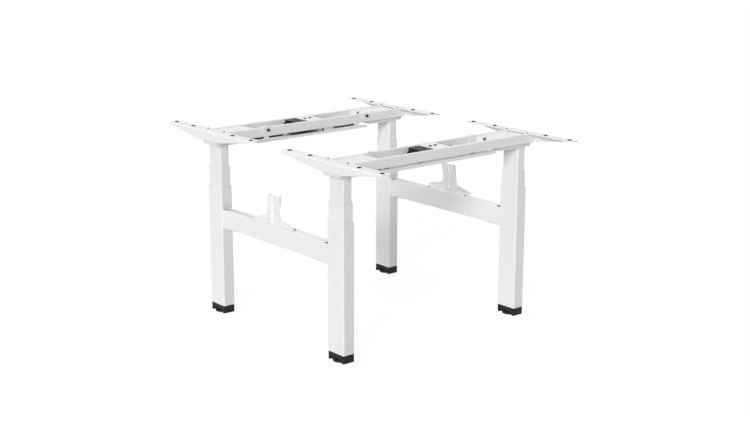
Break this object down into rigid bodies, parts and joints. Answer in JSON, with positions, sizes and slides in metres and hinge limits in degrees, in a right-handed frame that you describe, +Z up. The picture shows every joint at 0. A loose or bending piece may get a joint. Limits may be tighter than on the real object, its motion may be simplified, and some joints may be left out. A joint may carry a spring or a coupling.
{
  "type": "standing desk frame",
  "caption": "Electric height-adjustable steel frame for desks that stand face to face, with telescopic columns, low side beams, screen brackets, top rails and cable trays.",
  "frame": {"origin": "on the floor, midway between the columns", "axes": "+X along the rails to the right, +Y from the front desk to the rear desk, +Z up"},
  "size_m": [0.958, 1.313, 0.73],
  "materials": {
    "white_paint": "satin",
    "grey_paint": "satin",
    "black_plastic": "matt",
    "white_plastic": "matt",
    "black_rubber": "matt",
    "black_steel": "black oxide",
    "bare_steel": "zinc plated"
  },
  "bodies": {
    "base_left": {"outer_tube_rear_left": "grey_paint", "outer_tube_front_left": "grey_paint", "foot_caps_left": "black_plastic", "side_beam_left": "white_paint", "screen_bracket_left": "white_paint", "base_screws_left": "black_steel", "outer_guides_left": "white_plastic"},
    "base_right": {"outer_tube_rear_right": "grey_paint", "outer_tube_front_right": "grey_paint", "foot_caps_right": "black_plastic", "side_beam_right": "white_paint", "screen_bracket_right": "white_paint", "base_screws_right": "black_steel", "outer_guides_right": "white_plastic"},
    "rear_top": {"inner_tube_rear_left": "grey_paint", "inner_tube_rear_right": "grey_paint", "drive_heads_rear": "white_paint", "drive_motors_rear": "bare_steel", "end_boxes_rear": "white_paint", "side_bracket_rear_left": "white_paint", "side_bracket_rear_right": "white_paint", "inboard_rail_rear": "white_paint", "outboard_rail_rear": "white_paint", "rubber_pads_rear": "black_rubber", "top_screws_rear": "black_steel", "cable_tray_rear": "white_paint", "control_box_rear": "black_plastic", "centre_plate_rear": "white_paint", "cables_rear": "black_rubber", "rail_clips_rear": "white_paint", "clip_screws_rear": "black_plastic"},
    "front_top": {"inner_tube_front_left": "grey_paint", "inner_tube_front_right": "grey_paint", "drive_heads_front": "white_paint", "drive_motors_front": "bare_steel", "end_boxes_front": "white_paint", "side_bracket_front_left": "white_paint", "side_bracket_front_right": "white_paint", "inboard_rail_front": "white_paint", "outboard_rail_front": "white_paint", "rubber_pads_front": "black_rubber", "top_screws_front": "black_steel", "cable_tray_front": "white_paint", "control_box_front": "black_plastic", "centre_plate_front": "white_paint", "cables_front": "black_rubber", "rail_clips_front": "white_paint", "clip_screws_front": "black_plastic"},
    "middle_rear_left": {"middle_tube_rear_left": "grey_paint", "middle_guides_rear_left": "white_plastic"},
    "middle_front_left": {"middle_tube_front_left": "grey_paint", "middle_guides_front_left": "white_plastic"},
    "middle_rear_right": {"middle_tube_rear_right": "grey_paint", "middle_guides_rear_right": "white_plastic"},
    "middle_front_right": {"middle_tube_front_right": "grey_paint", "middle_guides_front_right": "white_plastic"},
    "levelling_foot_rear_left": {"glide_rear_left": "black_plastic"},
    "levelling_foot_front_left": {"glide_front_left": "black_plastic"},
    "levelling_foot_rear_right": {"glide_rear_right": "black_plastic"},
    "levelling_foot_front_right": {"glide_front_right": "black_plastic"}
  },
  "joints": [
    {"name": "lift_rear", "type": "slide", "parent": "base_left", "child": "rear_top", "axis": [0, 0, 1], "range_m": [-0.14, 0.5]},
    {"name": "lift_front", "type": "slide", "parent": "base_left", "child": "front_top", "axis": [0, 0, 1], "range_m": [-0.14, 0.5]},
    {"name": "right_legs_in_rear_top", "type": "slide", "parent": "rear_top", "child": "base_right", "axis": [0, 0, 1], "range_m": [-0.5, 0.14]},
    {"name": "middle_stage_rear_left", "type": "slide", "parent": "base_left", "child": "middle_rear_left", "axis": [0, 0, 1], "range_m": [-0.07, 0.25]},
    {"name": "middle_stage_front_left", "type": "slide", "parent": "base_left", "child": "middle_front_left", "axis": [0, 0, 1], "range_m": [-0.07, 0.25]},
    {"name": "middle_stage_rear_right", "type": "slide", "parent": "base_right", "child": "middle_rear_right", "axis": [0, 0, 1], "range_m": [-0.07, 0.25]},
    {"name": "middle_stage_front_right", "type": "slide", "parent": "base_right", "child": "middle_front_right", "axis": [0, 0, 1], "range_m": [-0.07, 0.25]},
    {"name": "foot_screw_rear_left", "type": "hinge", "parent": "base_left", "child": "levelling_foot_rear_left", "pos_m": [-0.428, 0.3755, 0], "axis": [0, 0, 1], "continuous": true},
    {"name": "foot_screw_front_left", "type": "hinge", "parent": "base_left", "child": "levelling_foot_front_left", "pos_m": [-0.428, -0.3755, 0], "axis": [0, 0, 1], "continuous": true},
    {"name": "foot_screw_rear_right", "type": "hinge", "parent": "base_right", "child": "levelling_foot_rear_right", "pos_m": [0.428, 0.3755, 0], "axis": [0, 0, 1], "continuous": true},
    {"name": "foot_screw_front_right", "type": "hinge", "parent": "base_right", "child": "levelling_foot_front_right", "pos_m": [0.428, -0.3755, 0], "axis": [0, 0, 1], "continuous": true}
  ],
  "couplings": [
    {"joint": "right_legs_in_rear_top", "follows": "lift_rear", "ratio": -1},
    {"joint": "middle_stage_rear_left", "follows": "lift_rear", "ratio": 0.5},
    {"joint": "middle_stage_front_left", "follows": "lift_front", "ratio": 0.5},
    {"joint": "middle_stage_rear_right", "follows": "lift_rear", "ratio": 0.5},
    {"joint": "middle_stage_front_right", "follows": "lift_front", "ratio": 0.5}
  ]
}
